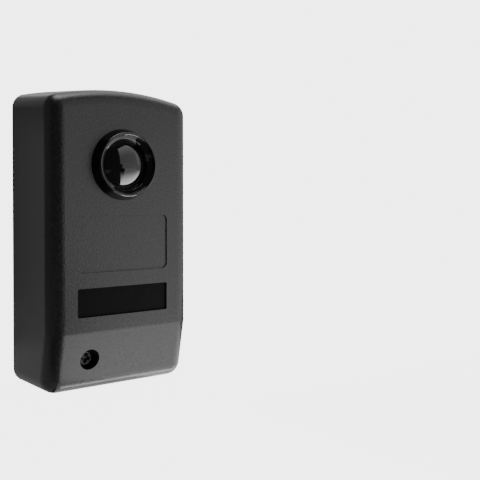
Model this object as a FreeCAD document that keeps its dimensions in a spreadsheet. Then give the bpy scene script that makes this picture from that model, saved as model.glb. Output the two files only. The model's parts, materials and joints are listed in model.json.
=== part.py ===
"""Gate photocell: a surface mounted infrared receiver for a powered gate.

Frame: millimetres, +Z up. The wall plane is y = 0 and the front looks along -Y. The origin is the middle of
the wall face. Levels are heights above the bottom of the case, and "across" is the distance from its middle.
"""
import FreeCAD, Part
import math
import os
import types

import Sketcher
from FreeCAD import Placement, Rotation, Vector

SIZES = [
    # Case
    ("case_width", 57.5, "width at the wall"),
    ("case_height", 110, "height to the top of the arch, at the wall"),
    ("case_depth", 32.3, "wall to the flat of the front"),
    ("arch_rise", 3.8, "rise of the top edge from the sides to the middle"),
    ("draft_angle", 1, "taper of the sides, degrees"),
    ("top_lean", 4.9, "fall of the top towards the front, degrees"),
    ("corner_radius", 5.4, "edges that run from wall to front"),
    ("front_radius", 5.5, "edge round the front"),
    ("slope_level", 21.4, "level where the front starts to lean back"),
    ("slope_angle", 12, "lean of the lower front, degrees"),
    ("slope_blend", 4, "radius of the bend above the lower front"),
    ("side_wall", 2.2, "thickness of the sides"),
    ("front_wall", 2.4, "thickness of the front"),
    ("inner_corner", 2.5, "bevel of the inner corners"),
    ("wall_gap", 0.3, "rim of the cover to the wall"),
    # Field between the window and the lens
    ("field_width", 36.5, "width of the sunk field"),
    ("field_height", 20, "height of the sunk field"),
    ("field_depth", 0.5, "depth of the sunk field"),
    ("field_corner", 2, "corner radius of the sunk field"),
    # Indicator window
    ("window_width", 36.3, "opening for the window"),
    ("window_height", 10.1, "opening for the window"),
    ("window_level", 31.9, "middle of the window"),
    ("window_sink", 0.7, "front of the window below the face"),
    ("window_corner", 0.6, "corner radius of the opening"),
    ("window_flange", 1.6, "overlap of the flange behind the wall"),
    ("window_flange_thickness", 1.2, "thickness of the flange"),
    # Lens and its ring
    ("lens_drop", 29.4, "top of the case to the lens axis"),
    ("ring_base_radius", 12.8, "ring where it meets the face"),
    ("ring_rim_radius", 11.4, "ring below its rounded lip"),
    ("ring_height", 4.1, "lip above the face"),
    ("ring_lip", 0.45, "half the width of the rounded lip"),
    ("ring_ledge_radius", 10.3, "outer edge of the ledge inside the lip"),
    ("ring_ledge_drop", 1.15, "lip to the outer edge of the ledge"),
    ("ring_ledge_fall", 0.25, "fall of the ledge towards the lens"),
    ("ring_throat_radius", 9.3, "inner edge of the ledge, where the throat starts"),
    ("ring_tube_radius", 10.9, "tube that passes through the front"),
    ("ring_tube_length", 7, "tube behind the face"),
    ("ring_shoulder", 0.8, "thickness of the shoulder that holds the lens"),
    ("ring_collar", 2.3, "wall of the collar moulded round the tube"),
    ("ring_collar_height", 2.4, "collar behind the front wall"),
    ("lens_aperture_radius", 8.4, "hole that the lens looks through"),
    ("lens_aperture_height", 1.2, "front of the shoulder above the face"),
    ("lens_dome_radius", 15, "curvature of the lens"),
    ("lens_flange_radius", 9.6, "flange of the lens"),
    ("lens_flange_thickness", 1.7, "flange of the lens"),
    ("lens_seal_thickness", 0.5, "flat seal in front of the flange"),
    ("retainer_width", 2.2, "ring that holds the lens from behind"),
    ("retainer_thickness", 2, "ring that holds the lens from behind"),
    # Cover screw
    ("screw_inset", 16.15, "side of the case to the cover screw"),
    ("screw_level", 11.5, "cover screw"),
    ("recess_radius", 3.7, "recess over the screw head"),
    ("recess_depth", 6.3, "face to the floor of the recess"),
    ("recess_floor", 2.2, "thickness under the screw head"),
    ("boss_wall", 1.6, "wall of the recess inside the case"),
    ("screw_head_radius", 2.8, "cover screw"),
    ("screw_head_height", 2.2, "cover screw"),
    ("screw_shank_radius", 1.45, "cover screw"),
    ("screw_length", 14, "cover screw under its head"),
    ("washer_thickness", 0.8, "sealing washer under the head"),
    ("pillar_radius", 3.2, "pillar that takes the cover screw"),
    # Back plate
    ("plate_thickness", 2.5, "back plate"),
    ("plate_clearance", 0.6, "back plate to the inside of the cover"),
    ("plate_corner", 4, "corner radius of the back plate"),
    ("seal_width", 2.4, "seal between the cover and the rim"),
    ("seal_height", 2, "seal between the cover and the rim"),
    ("rim_thickness", 1.6, "wall that stands on the back plate"),
    ("rim_height", 5.5, "wall that stands on the back plate"),
    ("rim_corner", 2, "corner radius of the rim"),
    ("hook_width", 12, "hook that carries the top of the cover"),
    ("hook_thickness", 1.5, "hook and the ledge behind it"),
    ("hook_grip", 1, "overlap of the hook and the ledge"),
    ("wall_hole_radius", 2.25, "holes for the wall screws"),
    ("wall_hole_inset", 12, "top and bottom of the case to the wall holes"),
    ("wall_boss_wall", 2.25, "boss round a wall hole"),
    ("wall_boss_height", 1, "boss round a wall hole"),
    # Cable inlet
    ("inlet_inset", 15.75, "side of the case to the cable inlet"),
    ("inlet_level", 17, "cable inlet"),
    ("inlet_bore_radius", 3, "bore for the cable"),
    ("grommet_neck_radius", 6.4, "grommet in the hole of the plate"),
    ("grommet_flange_width", 1.4, "flanges of the grommet"),
    ("grommet_flange_thickness", 0.9, "flanges of the grommet"),
    ("grommet_sink", 0.1, "grommet below the wall face"),
    ("grommet_nozzle_length", 4.3, "nozzle inside the case"),
    ("grommet_nozzle_wall", 1.2, "nozzle at its tip"),
    # Fits
    ("slip_fit", 0.1, "clearance of pieces that slide together"),
    ("screw_fit", 0.3, "clearance of a screw in its through hole"),
    ("thread_fit", 0.05, "clearance of a screw in its pilot hole"),
    # Circuit board
    ("board_stand", 10.4, "wall to the back of the board"),
    ("board_thickness", 1.6, "circuit board"),
    ("board_side_gap", 4, "edge of the board to the side wall"),
    ("board_gap", 1.6, "board to the boss of the cover screw"),
    ("board_top_margin", 11.5, "lens axis to the top edge of the board"),
    ("inlet_room", 8, "notch of the board, from the inlet axis"),
    ("stand_radius", 2.9, "stands under the board"),
    ("stand_inset", 3, "side of the board to its screws"),
    ("stand_low", 15, "bottom edge of the board to the lower screws"),
    ("stand_top", 4, "top edge of the board to the upper screws"),
    ("board_screw_head_radius", 2.4, "board screws"),
    ("board_screw_head_height", 1.7, "board screws"),
    ("board_screw_shank_radius", 1.2, "board screws"),
    ("board_screw_length", 6.5, "board screws under their heads"),
    ("edge_gap", 1, "edge of the board to the parts beside it"),
    ("part_gap", 2, "between neighbouring parts on the board"),
    # Receiver diode
    ("diode_width", 5.4, "receiver diode"),
    ("diode_depth", 4.3, "receiver diode, up the board"),
    ("diode_height", 3.2, "receiver diode"),
    ("diode_lift", 2, "receiver diode above the board"),
    ("holder_radius", 4, "inside of the sleeve round the receiver diode"),
    ("holder_wall", 1, "sleeve round the receiver diode"),
    ("holder_height", 7, "sleeve round the receiver diode"),
    # Indicator lamp
    ("lamp_across", 8, "indicator lamp"),
    ("lamp_radius", 1.5, "indicator lamp"),
    ("lamp_flange_radius", 1.9, "foot of the indicator lamp"),
    ("lamp_flange_thickness", 0.8, "foot of the indicator lamp"),
    ("lamp_height", 5.4, "indicator lamp"),
    # Terminal block
    ("pole_count", 4, "terminals"),
    ("pole_pitch", 5.08, "terminals"),
    ("terminal_depth", 10, "terminal block, up the board"),
    ("terminal_height", 12, "terminal block, out from the board"),
    ("terminal_step", 3, "chamfer along its upper edge"),
    ("terminal_gap", 3.2, "terminal block to the notch of the board"),
    ("entry_width", 3.6, "wire entries"),
    ("entry_height", 4.4, "wire entries"),
    ("entry_depth", 7.4, "wire entries"),
    ("entry_rise", 1.6, "board to the wire entries"),
    ("clamp_wall", 0.5, "wire clamps"),
    ("terminal_screw_radius", 1.5, "terminal screws"),
    ("terminal_screw_sink", 1.2, "terminal screws below the top of the block"),
    ("terminal_slot", 0.7, "slots of the terminal screws"),
    # Parts on the board
    ("relay_width", 19, "relay"),
    ("relay_depth", 15.5, "relay, up the board"),
    ("relay_height", 15, "relay"),
    ("relay_edge", 0.6, "bevel of the relay"),
    ("varistor_radius", 4.5, "varistor"),
    ("varistor_thickness", 4, "varistor"),
    ("varistor_across", -10, "varistor"),
    ("varistor_lift", 1.2, "varistor above the board"),
    ("filter_radius", 5, "filter capacitor"),
    ("filter_height", 16, "filter capacitor"),
    ("small_radius", 2.5, "small capacitors"),
    ("small_height", 7, "small capacitors"),
    ("small_pitch", 6.5, "between the small capacitors"),
    ("can_bevel", 0.4, "top edge of the capacitors"),
    ("regulator_width", 10, "voltage regulator, up the board"),
    ("regulator_thickness", 3.2, "voltage regulator"),
    ("regulator_height", 9, "voltage regulator without its tab"),
    ("regulator_lift", 2.5, "voltage regulator above the board"),
    ("tab_thickness", 1.3, "tab of the voltage regulator"),
    ("tab_height", 4.5, "tab above the body"),
    ("tab_hole_radius", 1.5, "hole in the tab"),
    ("leg_pitch", 2.54, "legs of the voltage regulator and the decoder chip"),
    ("leg_width", 0.6, "legs of the parts on the board"),
    ("chip_length", 19.3, "decoder chip"),
    ("chip_width", 6.4, "decoder chip"),
    ("chip_height", 3.4, "decoder chip"),
    ("chip_lift", 0.5, "decoder chip above the board"),
    ("chip_notch_radius", 1.1, "end mark of the decoder chip"),
    ("chip_row_width", 7.62, "rows of legs of the decoder chip"),
    ("chip_legs", 7, "legs in a row"),
    ("rectifier_count", 4, "rectifier diodes"),
    ("rectifier_length", 4.4, "rectifier diodes"),
    ("rectifier_width", 2.7, "rectifier diodes, up the board"),
    ("rectifier_height", 2.2, "rectifier diodes"),
    ("rectifier_tab", 0.5, "end tabs of the rectifier diodes"),
    ("rectifier_waist", 0.3, "lean of the ends of the rectifier diodes"),
    ("resistor_count", 6, "resistors"),
    ("resistor_length", 3.2, "resistors, up the board"),
    ("resistor_width", 1.6, "resistors"),
    ("resistor_height", 0.6, "resistors"),
    ("rectifier_pitch", 4, "between neighbouring rectifier diodes"),
    ("resistor_pitch", 2.6, "between neighbouring resistors"),
]


class Size:
    """A number with the sheet expression that gives it."""

    def __init__(self, number, text):
        self.number = number
        self.text = text

    def __add__(self, other):
        other = as_size(other)
        return Size(self.number + other.number, f"({self.text} + {other.text})")

    def __sub__(self, other):
        other = as_size(other)
        return Size(self.number - other.number, f"({self.text} - {other.text})")

    def __mul__(self, other):
        other = as_size(other)
        return Size(self.number * other.number, f"({self.text} * {other.text})")

    def __truediv__(self, other):
        other = as_size(other)
        return Size(self.number / other.number, f"({self.text} / {other.text})")

    def __neg__(self):
        return Size(-self.number, f"(0 - {self.text})")

    def __radd__(self, other):
        return as_size(other) + self

    def __rsub__(self, other):
        return as_size(other) - self

    def __rmul__(self, other):
        return as_size(other) * self


def as_size(value):
    return value if isinstance(value, Size) else Size(float(value), f"({value})")


def root(size):
    return Size(math.sqrt(size.number), f"sqrt({size.text})")


def tangent(angle):
    return Size(math.tan(math.radians(angle.number)), f"tan({angle.text} * 1 deg)")


def sine(angle):
    return Size(math.sin(math.radians(angle.number)), f"sin({angle.text} * 1 deg)")


def cosine(angle):
    return Size(math.cos(math.radians(angle.number)), f"cos({angle.text} * 1 deg)")


def larger(first, second):
    return Size(max(first.number, second.number), f"max({first.text}; {second.text})")


def make_sheet():
    """The driving dimensions, one row each: name, number, note."""
    sheet = doc.addObject("Spreadsheet::Sheet", "Sizes")
    for row, (name, number, note) in enumerate(SIZES, 1):
        sheet.set(f"A{row}", name)
        sheet.set(f"B{row}", str(number))
        sheet.setAlias(f"B{row}", name)
        sheet.set(f"C{row}", note)
    doc.recompute()
    sizes = {name: Size(float(sheet.get(name)), f"Sizes.{name}") for name, _, _ in SIZES}
    return types.SimpleNamespace(**sizes)


doc = FreeCAD.newDocument("gate_photocell")
s = make_sheet()
ZERO = as_size(0)
SWELL = as_size(1)  # how far a cutting tool runs past the face that it opens


# Drawing helpers


def bind(thing, field, size):
    thing.setExpression(field, as_size(size).text)


def place(thing, x, y, z):
    for axis, size in zip("xyz", (x, y, z)):
        bind(thing, f"Placement.Base.{axis}", size)


def level(height):
    """Height above the bottom of the case, as a z."""
    return height - s.case_height / 2


def block(name, x_range, y_range, z_range):
    box = doc.addObject("Part::Box", name)
    for field, (low, high) in zip(("Length", "Width", "Height"), (x_range, y_range, z_range)):
        bind(box, field, high - low)
    place(box, x_range[0], y_range[0], z_range[0])
    return box


TURN_TO = {
    "x": Rotation(Vector(0, 1, 0), 90),
    "y": Rotation(Vector(1, 0, 0), -90),
    "z": Rotation(),
}


def rod(name, radius, start, length, axis="y"):
    """A cylinder from the point start along +x, +y or +z."""
    cylinder = doc.addObject("Part::Cylinder", name)
    bind(cylinder, "Radius", radius)
    bind(cylinder, "Height", length)
    cylinder.Placement = Placement(Vector(), TURN_TO[axis])
    place(cylinder, *start)
    return cylinder


def join(name, things):
    fused = doc.addObject("Part::MultiFuse", name)
    fused.Shapes = things
    return fused


def cut(name, base, tool):
    result = doc.addObject("Part::Cut", name)
    result.Base = base
    result.Tool = tool
    return result


def group(name, things):
    compound = doc.addObject("Part::Compound", name)
    compound.Links = things
    return compound


def make_sketch(body, role, name):
    plane = next(part for part in body.Origin.OriginFeatures if part.Role == role)
    sketch = body.newObject("Sketcher::SketchObject", name)
    sketch.AttachmentSupport = [(plane, "")]
    sketch.MapMode = "FlatFace"
    return sketch


def fix_number(sketch, constraint, size):
    index = sketch.addConstraint(constraint)
    sketch.setExpression(f"Constraints[{index}]", size.text)


def fix_point(sketch, geometry, end, x, y):
    """Tie a point to its distances from the sketch's origin."""
    for kind, axis, size in (("DistanceX", -2, x), ("DistanceY", -1, y)):
        if size is ZERO:
            sketch.addConstraint(Sketcher.Constraint("PointOnObject", geometry, end, axis))
        else:
            fix_number(sketch, Sketcher.Constraint(kind, -1, 1, geometry, end, size.number), size)


def arc_between(first, second, radius):
    """The arc that turns left from the first point to the second."""
    chord = second - first
    height = math.sqrt(radius * radius - (chord.Length / 2) ** 2)
    left = Vector(-chord.y, chord.x, 0).normalize()
    centre = (first + second) / 2 + left * height
    start = math.atan2(first.y - centre.y, first.x - centre.x)
    finish = math.atan2(second.y - centre.y, second.x - centre.x)
    return Part.ArcOfCircle(Part.Circle(centre, Vector(0, 0, 1), radius), start, finish)


def draw_loop(sketch, points, arcs=None):
    """A closed loop of lines. arcs gives the radius of an arc that leaves a point, by the point's number."""
    arcs = arcs or {}
    spots = [Vector(x.number, y.number, 0) for x, y in points]
    edges = []
    for number, spot in enumerate(spots):
        following = spots[(number + 1) % len(spots)]
        if number in arcs:
            shape = arc_between(spot, following, arcs[number].number)
        else:
            shape = Part.LineSegment(spot, following)
        edges.append(sketch.addGeometry(shape, False))
    for number, edge in enumerate(edges):
        following = edges[(number + 1) % len(edges)]
        sketch.addConstraint(Sketcher.Constraint("Coincident", edge, 2, following, 1))
    for edge, (x, y) in zip(edges, points):
        fix_point(sketch, edge, 1, x, y)
    for number, radius in arcs.items():
        fix_number(sketch, Sketcher.Constraint("Radius", edges[number], radius.number), radius)


def draw_hole(sketch, x, y, radius):
    centre = Vector(x.number, y.number, 0)
    circle = sketch.addGeometry(Part.Circle(centre, Vector(0, 0, 1), radius.number), False)
    fix_point(sketch, circle, 3, x, y)
    fix_number(sketch, Sketcher.Constraint("Radius", circle, radius.number), radius)


def turned(name, points, x, z, arcs=None):
    """A solid of revolution about an axis along Y through (x, z), from (radius, y) points."""
    body = doc.addObject("PartDesign::Body", name)
    sketch = make_sketch(body, "XY_Plane", f"{name}_section")
    draw_loop(sketch, points, arcs)
    solid = body.newObject("PartDesign::Revolution", f"{name}_turned")
    solid.Profile = sketch
    solid.ReferenceAxis = (sketch, ["V_Axis"])
    solid.Angle = 360
    place(body, x, 0, z)
    return body


def padded(name, loop, y, thickness, holes=(), arcs=None):
    """A solid with its outline in the XZ plane at y, that grows towards the front."""
    body = doc.addObject("PartDesign::Body", name)
    sketch = make_sketch(body, "XZ_Plane", f"{name}_outline")
    draw_loop(sketch, loop, arcs)
    for x, z, radius in holes:
        draw_hole(sketch, x, z, radius)
    pad = body.newObject("PartDesign::Pad", f"{name}_pad")
    pad.Profile = sketch
    bind(pad, "Length", thickness)
    place(body, 0, y, 0)
    return body


def cut_through(body, sketch):
    pocket = body.newObject("PartDesign::Pocket", f"{sketch.Name}_cut")
    pocket.Profile = sketch
    pocket.Type = "ThroughAll"
    pocket.Midplane = True


def runs_along_y(edge):
    box = edge.BoundBox
    return box.YLength > 10 * max(box.XLength, box.ZLength)


def round_corners(body, radius):
    """Round the edges of a padded body that run from back to front."""
    doc.recompute()
    pad = body.Tip
    names = [f"Edge{number}" for number, edge in enumerate(pad.Shape.Edges, 1) if runs_along_y(edge)]
    fillet = body.newObject("PartDesign::Fillet", f"{body.Name}_corners")
    fillet.Base = (pad, names)
    bind(fillet, "Radius", radius)
    return body


def rectangle(x_range, z_range):
    (left, right), (low, high) = x_range, z_range
    return [(left, low), (right, low), (right, high), (left, high)]


def rounded_block(name, width, height, middle, y, thickness, radius):
    """A rounded rectangle about (0, middle), from y towards the front."""
    loop = rectangle((-width / 2, width / 2), (middle - height / 2, middle + height / 2))
    return round_corners(padded(name, loop, y, thickness), radius)


# The arched outline that the cover, the back plate and the seal share


def arched_loop(inset):
    """The case outline, moved inwards, and the radius of its top edge."""
    half = s.case_width / 2 - inset
    low = inset - s.case_height / 2
    shoulder = s.case_height / 2 - s.arch_rise - inset
    radius = (half * half + s.arch_rise * s.arch_rise) / (2 * s.arch_rise)
    return [(-half, low), (half, low), (half, shoulder), (-half, shoulder)], {2: radius}


def arched_plate(name, inset, y, thickness, corner):
    loop, arcs = arched_loop(inset)
    return round_corners(padded(name, loop, y, thickness, arcs=arcs), corner)


def case_block(name, inset, front_inset):
    """The outer form of the case, or its hollow when inset: tapered sides, leaning top and lower front."""
    rim = -s.wall_gap
    half = s.case_width / 2 - inset
    low = inset - s.case_height / 2
    peak = s.case_height / 2 - inset
    # the body stands at the rim, so its sketches measure y from there
    depth = rim + s.case_depth - front_inset
    body = padded(name, rectangle((-half, half), (low, peak + SWELL)), rim, depth)
    taper = tangent(s.draft_angle)
    sketch = make_sketch(body, "XY_Plane", f"{name}_taper")
    for side in (-1, 1):
        edge = side * half
        front_edge = side * (half - depth * taper)
        draw_loop(sketch, [(edge, ZERO), (edge, -depth), (front_edge, -depth)])
    cut_through(body, sketch)
    cut_crown(body, half, peak)
    cut_lower_front(body, front_inset, depth, low)
    return body


def cut_crown(body, half, peak):
    """Round the top of a case block along an axis that falls towards the front."""
    sketch = make_sketch(body, "XZ_Plane", f"{body.Name}_crown")
    sketch.AttachmentOffset = Placement(Vector(), Rotation(Vector(1, 0, 0), s.top_lean.number))
    bind(sketch, "AttachmentOffset.Rotation.Angle", s.top_lean)
    rise = s.arch_rise * cosine(s.top_lean)
    top = peak * cosine(s.top_lean)
    radius = (half * half + rise * rise) / (2 * rise)
    # the arch runs on past the sides, so that no edge of the cut lies on them
    reach = half + SWELL
    end = top - radius + root(radius * radius - reach * reach)
    above = peak + s.case_depth
    draw_loop(sketch, [(reach, end), (-reach, end), (-reach, above), (reach, above)], {0: radius})
    cut_through(body, sketch)


def cut_lower_front(body, front_inset, depth, low):
    """Lean the lower front of a case block back, with a small bend above it."""
    blend = s.slope_blend - front_inset
    bend_z = level(s.slope_level) + (front_inset + blend) * tangent(s.slope_angle / 2)
    lean_y = blend - blend * cosine(s.slope_angle) - depth
    lean_z = bend_z - blend * sine(s.slope_angle)
    below = low - SWELL
    foot_y = lean_y + (lean_z - below) * tangent(s.slope_angle)
    ahead = -depth - SWELL
    loop = [(-depth, bend_z), (lean_y, lean_z), (foot_y, below), (ahead, below), (ahead, bend_z)]
    sketch = make_sketch(body, "YZ_Plane", f"{body.Name}_lean")
    draw_loop(sketch, loop, {0: blend})
    cut_through(body, sketch)


def case_edges(base):
    """The edges of a case block that run from wall to front, and those round the front, by number."""
    doc.recompute()
    rim_y = -s.wall_gap.number
    corners = []
    front = []
    for number, edge in enumerate(base.Shape.Edges, 1):
        box = edge.BoundBox
        on_rim = abs(box.YMax - rim_y) < 1e-4
        crosses_front = box.XLength > s.case_width.number / 2 and box.YLength < 1e-4
        bend_line = crosses_front and box.ZLength < 1e-4 and box.ZMin > level(s.slope_level / 2).number
        if on_rim and runs_along_y(edge):
            corners.append(number)
        elif not on_rim and not bend_line:
            front.append(number)
    return corners, front


def treat_edges(kind, name, base, sizes):
    """Round or bevel edges, given as pairs of an edge's number and a size."""
    result = doc.addObject(kind, name)
    result.Base = base
    result.Edges = [(number, size.number, size.number) for number, size in sizes]
    return result


# Places that several pieces share

FACE = -s.case_depth
INNER_FACE = FACE + s.front_wall
LENS_Z = level(s.case_height - s.lens_drop)
WINDOW_Z = level(s.window_level)
SCREW_X = s.screw_inset - s.case_width / 2
SCREW_Z = level(s.screw_level)
SCREW_FACE = FACE + (s.slope_level - s.screw_level) * tangent(s.slope_angle)
RECESS_FLOOR = SCREW_FACE + s.recess_depth
BOSS_END = RECESS_FLOOR + s.recess_floor
BOSS_RADIUS = s.recess_radius + s.boss_wall
PLATE_INSET = s.side_wall + s.plate_clearance
RIM_INSET = PLATE_INSET + s.seal_width
PLATE_FRONT = -s.plate_thickness
RIM_FRONT = PLATE_FRONT - s.rim_height
HOOK_TOP = s.case_height / 2 - RIM_INSET + s.hook_grip * 2
LEDGE_BOTTOM = HOOK_TOP - s.hook_grip
HOOK_BACK = RIM_FRONT + s.hook_thickness
INLET_X = s.case_width / 2 - s.inlet_inset
INLET_Z = level(s.inlet_level)
WALL_HOLE_Z = s.case_height / 2 - s.wall_hole_inset
BOARD_BACK = -s.board_stand
BOARD_FRONT = BOARD_BACK - s.board_thickness
BOARD_HALF = s.case_width / 2 - s.side_wall - s.board_side_gap
BOARD_LOW = SCREW_Z + BOSS_RADIUS + s.board_gap
BOARD_TOP = LENS_Z + s.board_top_margin
NOTCH_X = INLET_X - s.inlet_room
NOTCH_Z = INLET_Z + s.inlet_room
STAND_X = BOARD_HALF - s.stand_inset
STANDS = [
    (side * STAND_X, z)
    for side in (-1, 1)
    for z in (BOARD_LOW + s.stand_low, BOARD_TOP - s.stand_top)
]
SHOULDER = FACE - s.lens_aperture_height + s.ring_shoulder
LENS_FLANGE_FRONT = SHOULDER + s.lens_seal_thickness
LENS_BACK = LENS_FLANGE_FRONT + s.lens_flange_thickness
RING_BORE = s.lens_flange_radius + s.slip_fit


# Case


def make_front_cover():
    block_outside = case_block("cover_outside", ZERO, ZERO)
    block_inside = case_block("cover_inside", s.side_wall, s.front_wall)
    corners, front = case_edges(block_outside)
    radii = [(edge, s.corner_radius) for edge in corners] + [(edge, s.front_radius) for edge in front]
    outer = treat_edges("Part::Fillet", "cover_outer", block_outside, radii)
    corners, _ = case_edges(block_inside)
    bevels = [(edge, s.inner_corner) for edge in corners]
    hollow = treat_edges("Part::Chamfer", "cover_hollow", block_inside, bevels)
    shell = cut("cover_shell", outer, hollow)
    ahead = FACE - SWELL
    boss = doc.addObject("Part::Common", "cover_boss")
    boss.Base = outer
    boss.Tool = rod("cover_boss_rod", BOSS_RADIUS, (SCREW_X, ahead, SCREW_Z), BOSS_END - ahead)
    collar_radius = s.ring_tube_radius + s.slip_fit + s.ring_collar
    collar_length = s.front_wall / 2 + s.ring_collar_height
    collar = rod("cover_collar", collar_radius, (ZERO, INNER_FACE - s.front_wall / 2, LENS_Z), collar_length)
    ledge_back = HOOK_BACK + s.slip_fit
    ledge = block(
        "cover_ledge",
        (-s.hook_width / 2, s.hook_width / 2),
        (ledge_back, ledge_back + s.hook_thickness),
        (LEDGE_BOTTOM, s.case_height / 2 - s.side_wall / 2),
    )
    solid = join("cover_solid", [shell, boss, collar, ledge])
    through = s.front_wall + s.ring_collar_height + 2 * SWELL
    tools = [
        rod("cover_lens_hole", s.ring_tube_radius + s.slip_fit, (ZERO, ahead, LENS_Z), through),
        rod("cover_recess", s.recess_radius, (SCREW_X, ahead, SCREW_Z), RECESS_FLOOR - ahead),
        rod(
            "cover_screw_hole",
            s.screw_shank_radius + s.screw_fit,
            (SCREW_X, RECESS_FLOOR - SWELL, SCREW_Z),
            s.recess_floor + 2 * SWELL,
        ),
        rounded_block(
            "cover_window_hole",
            s.window_width,
            s.window_height,
            WINDOW_Z,
            INNER_FACE + SWELL,
            s.front_wall + 2 * SWELL,
            s.window_corner,
        ),
        rounded_block(
            "cover_field",
            s.field_width,
            s.field_height,
            (WINDOW_Z + s.window_height / 2 + LENS_Z - s.ring_base_radius) / 2,
            FACE + s.field_depth,
            s.field_depth + SWELL,
            s.field_corner,
        ),
    ]
    return cut("front_cover", solid, join("cover_cuts", tools))


def make_back_plate():
    plate = arched_plate("plate_sheet", PLATE_INSET, ZERO, s.plate_thickness, s.plate_corner)
    half_sheet = -s.plate_thickness / 2
    rim_length = half_sheet - RIM_FRONT
    rim_outer = arched_plate("plate_rim_outer", RIM_INSET, half_sheet, rim_length, s.rim_corner)
    rim_inner = arched_plate(
        "plate_rim_inner",
        RIM_INSET + s.rim_thickness,
        PLATE_FRONT,
        s.rim_height + SWELL,
        s.rim_corner,
    )
    rim = cut("plate_rim", rim_outer, rim_inner)
    hook = block(
        "plate_hook",
        (-s.hook_width / 2, s.hook_width / 2),
        (RIM_FRONT, HOOK_BACK),
        (s.case_height / 2 - RIM_INSET - s.rim_thickness, HOOK_TOP),
    )
    pillar = rod("plate_pillar", s.pillar_radius, (SCREW_X, BOSS_END, SCREW_Z), half_sheet - BOSS_END)
    stand_length = half_sheet - BOARD_BACK
    stands = [
        rod(f"plate_stand_{number}", s.stand_radius, (x, BOARD_BACK, z), stand_length)
        for number, (x, z) in enumerate(STANDS, 1)
    ]
    wall_bosses = [
        rod(
            f"plate_wall_boss_{number}",
            s.wall_hole_radius + s.wall_boss_wall,
            (ZERO, PLATE_FRONT - s.wall_boss_height, side * WALL_HOLE_Z),
            s.wall_boss_height + s.plate_thickness / 2,
        )
        for number, side in enumerate((-1, 1), 1)
    ]
    solid = join("plate_solid", [plate, rim, hook, pillar, *stands, *wall_bosses])
    pilot_end = RECESS_FLOOR - s.washer_thickness + s.screw_length + SWELL
    board_pilot_end = BOARD_FRONT + s.board_screw_length + SWELL / 2
    tools = [
        rod(
            "plate_pilot",
            s.screw_shank_radius + s.thread_fit,
            (SCREW_X, BOSS_END - SWELL, SCREW_Z),
            pilot_end - BOSS_END + SWELL,
        ),
        rod(
            "plate_inlet",
            s.grommet_neck_radius + s.slip_fit,
            (INLET_X, PLATE_FRONT - SWELL, INLET_Z),
            s.plate_thickness + 2 * SWELL,
        ),
        rod(
            "plate_inlet_recess",
            s.grommet_neck_radius + s.grommet_flange_width + s.slip_fit,
            (INLET_X, -s.grommet_sink - s.grommet_flange_thickness, INLET_Z),
            s.grommet_sink + s.grommet_flange_thickness + SWELL,
        ),
    ]
    for number, (x, z) in enumerate(STANDS, 1):
        start = BOARD_BACK - SWELL
        radius = s.board_screw_shank_radius + s.thread_fit
        tools.append(rod(f"plate_board_pilot_{number}", radius, (x, start, z), board_pilot_end - start))
    for number, side in enumerate((-1, 1), 1):
        start = PLATE_FRONT - s.wall_boss_height - SWELL
        z = side * WALL_HOLE_Z
        tools.append(rod(f"plate_wall_hole_{number}", s.wall_hole_radius, (ZERO, start, z), SWELL - start))
    return cut("back_plate", solid, join("plate_cuts", tools))


def make_cover_seal():
    outer = arched_plate("seal_outer", PLATE_INSET, PLATE_FRONT, s.seal_height, s.plate_corner)
    through = s.seal_height + 2 * SWELL
    inner = arched_plate("seal_inner", RIM_INSET, PLATE_FRONT + SWELL, through, s.rim_corner)
    return cut("cover_seal", outer, inner)


# Lens


def make_lens_ring():
    lip_top = FACE - s.ring_height
    ledge = lip_top + s.ring_ledge_drop
    tube_end = FACE + s.ring_tube_length
    points = [
        (s.lens_aperture_radius, SHOULDER),
        (s.lens_aperture_radius, FACE - s.lens_aperture_height),
        (s.ring_throat_radius, ledge + s.ring_ledge_fall),
        (s.ring_ledge_radius, ledge),
        (s.ring_rim_radius - 2 * s.ring_lip, lip_top + s.ring_lip),
        (s.ring_rim_radius - s.ring_lip, lip_top),
        (s.ring_rim_radius, lip_top + s.ring_lip),
        (s.ring_base_radius, FACE),
        (s.ring_tube_radius, FACE),
        (s.ring_tube_radius, tube_end),
        (RING_BORE, tube_end),
        (RING_BORE, SHOULDER),
    ]
    return turned("lens_ring", points, ZERO, LENS_Z, {4: s.ring_lip, 5: s.ring_lip})


def make_lens():
    dome_radius = s.lens_aperture_radius - s.slip_fit
    dome_edge = FACE - s.lens_aperture_height + s.slip_fit
    curve = s.lens_dome_radius
    apex = dome_edge - curve + root(curve * curve - dome_radius * dome_radius)
    points = [
        (ZERO, apex),
        (dome_radius, dome_edge),
        (dome_radius, LENS_FLANGE_FRONT),
        (s.lens_flange_radius, LENS_FLANGE_FRONT),
        (s.lens_flange_radius, LENS_BACK),
        (ZERO, LENS_BACK),
    ]
    return turned("lens", points, ZERO, LENS_Z, {0: curve})


def washer(name, inner, outer, back, front, x, z):
    points = [(inner, front), (outer, front), (outer, back), (inner, back)]
    return turned(name, points, x, z)


def make_lens_seal():
    inner = s.lens_aperture_radius + s.slip_fit
    return washer("lens_seal", inner, s.lens_flange_radius, LENS_FLANGE_FRONT, SHOULDER, ZERO, LENS_Z)


def make_lens_retainer():
    outer = RING_BORE - s.thread_fit
    back = LENS_BACK + s.retainer_thickness
    return washer("lens_retainer", outer - s.retainer_width, outer, back, LENS_BACK, ZERO, LENS_Z)


def make_indicator_window():
    width = s.window_width - 2 * s.slip_fit
    height = s.window_height - 2 * s.slip_fit
    corner = s.window_corner - s.slip_fit
    front = FACE + s.window_sink
    flange_back = INNER_FACE + s.window_flange_thickness
    pane = rounded_block("window_pane", width, height, WINDOW_Z, flange_back, flange_back - front, corner)
    flange = rounded_block(
        "window_rear",
        s.window_width + 2 * s.window_flange,
        s.window_height + 2 * s.window_flange,
        WINDOW_Z,
        flange_back,
        s.window_flange_thickness,
        s.window_flange,
    )
    return join("indicator_window", [pane, flange])


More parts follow.
